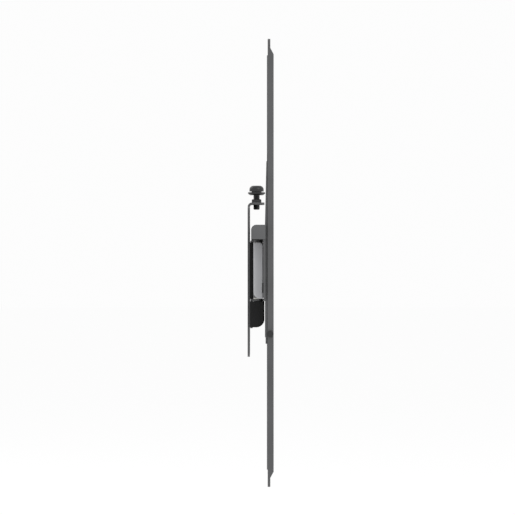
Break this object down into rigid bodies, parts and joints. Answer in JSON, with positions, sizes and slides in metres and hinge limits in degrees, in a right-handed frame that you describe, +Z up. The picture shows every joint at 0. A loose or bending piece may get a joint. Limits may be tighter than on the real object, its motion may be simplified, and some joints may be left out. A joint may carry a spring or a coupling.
{
  "type": "full motion tv wall mount",
  "caption": "Slim articulating wall mount for a flat screen: two folding arms, a crossbar and two tilting upright rails, folded flat.",
  "frame": {"origin": "centre of the four wall fixing slots, on the back face of the wall plate", "axes": "+Z up; +Y into the wall, so the mount stands out and the screen faces along -Y; X along the wall"},
  "size_m": [0.438, 0.0252, 0.43],
  "materials": {
    "black_paint": "fine satin powder coat",
    "black_plastic": "matt moulded",
    "grey_plastic": "matt moulded",
    "light_grey_plastic": "matt moulded",
    "nylon": "smooth",
    "black_zinc": "black zinc, slightly shiny"
  },
  "bodies": {
    "wall": {"wall_plate": "black_paint", "hinge_lugs": "black_paint", "wall_pin": "black_zinc", "wall_nut": "black_zinc", "wall_washers": "nylon", "level_nut": "black_zinc"},
    "level_screw": {"level_screw": "black_zinc", "level_washer": "black_zinc"},
    "rear_arm": {"rear_arm": "black_paint", "rear_arm_cover": "black_plastic", "rear_arm_end_cap": "black_plastic", "cover_screws": "black_zinc", "elbow_pin": "black_zinc", "elbow_nut": "black_zinc"},
    "front_arm": {"front_arm": "black_paint", "front_arm_end_cap": "light_grey_plastic", "elbow_washers": "nylon", "head_washers": "nylon"},
    "head": {"crossbar": "black_paint", "crossbar_end_caps": "grey_plastic", "swivel_hub": "black_zinc", "head_pin": "black_zinc", "head_nut": "black_zinc", "hanger_bolts": "black_zinc", "hanger_nuts": "black_zinc", "hanger_left": "black_paint", "hanger_right": "black_paint"},
    "rail_left": {"rail_left": "black_paint", "tilt_pin_left": "black_zinc", "tilt_nut_left": "black_zinc", "tilt_washers_left": "nylon"},
    "rail_right": {"rail_right": "black_paint", "tilt_pin_right": "black_zinc", "tilt_nut_right": "black_zinc", "tilt_washers_right": "nylon"}
  },
  "joints": [
    {"name": "wall_hinge", "type": "hinge", "parent": "wall", "child": "rear_arm", "pos_m": [0.1, -0.0104, 0], "axis": [0, 0, 1], "range_deg": [0, 90]},
    {"name": "elbow", "type": "hinge", "parent": "rear_arm", "child": "front_arm", "pos_m": [-0.19, -0.0104, 0], "axis": [0, 0, -1], "range_deg": [0, 175]},
    {"name": "head_swivel", "type": "hinge", "parent": "front_arm", "child": "head", "pos_m": [0, -0.0104, 0], "axis": [0, 0, 1], "range_deg": [0, 87.5]},
    {"name": "tilt_right", "type": "hinge", "parent": "head", "child": "rail_right", "pos_m": [0.2, -0.0218, -0.052], "axis": [1, 0, 0], "range_deg": [0, 12]},
    {"name": "tilt_left", "type": "hinge", "parent": "head", "child": "rail_left", "pos_m": [-0.2, -0.0218, -0.052], "axis": [1, 0, 0], "range_deg": [0, 12]},
    {"name": "screw_travel", "type": "slide", "parent": "wall", "child": "level_screw", "axis": [0, 0, -1], "range_m": [0, 0.0035]}
  ],
  "couplings": [
    {"joint": "head_swivel", "follows": "elbow", "ratio": 0.5},
    {"joint": "tilt_left", "follows": "tilt_right", "ratio": 1}
  ]
}
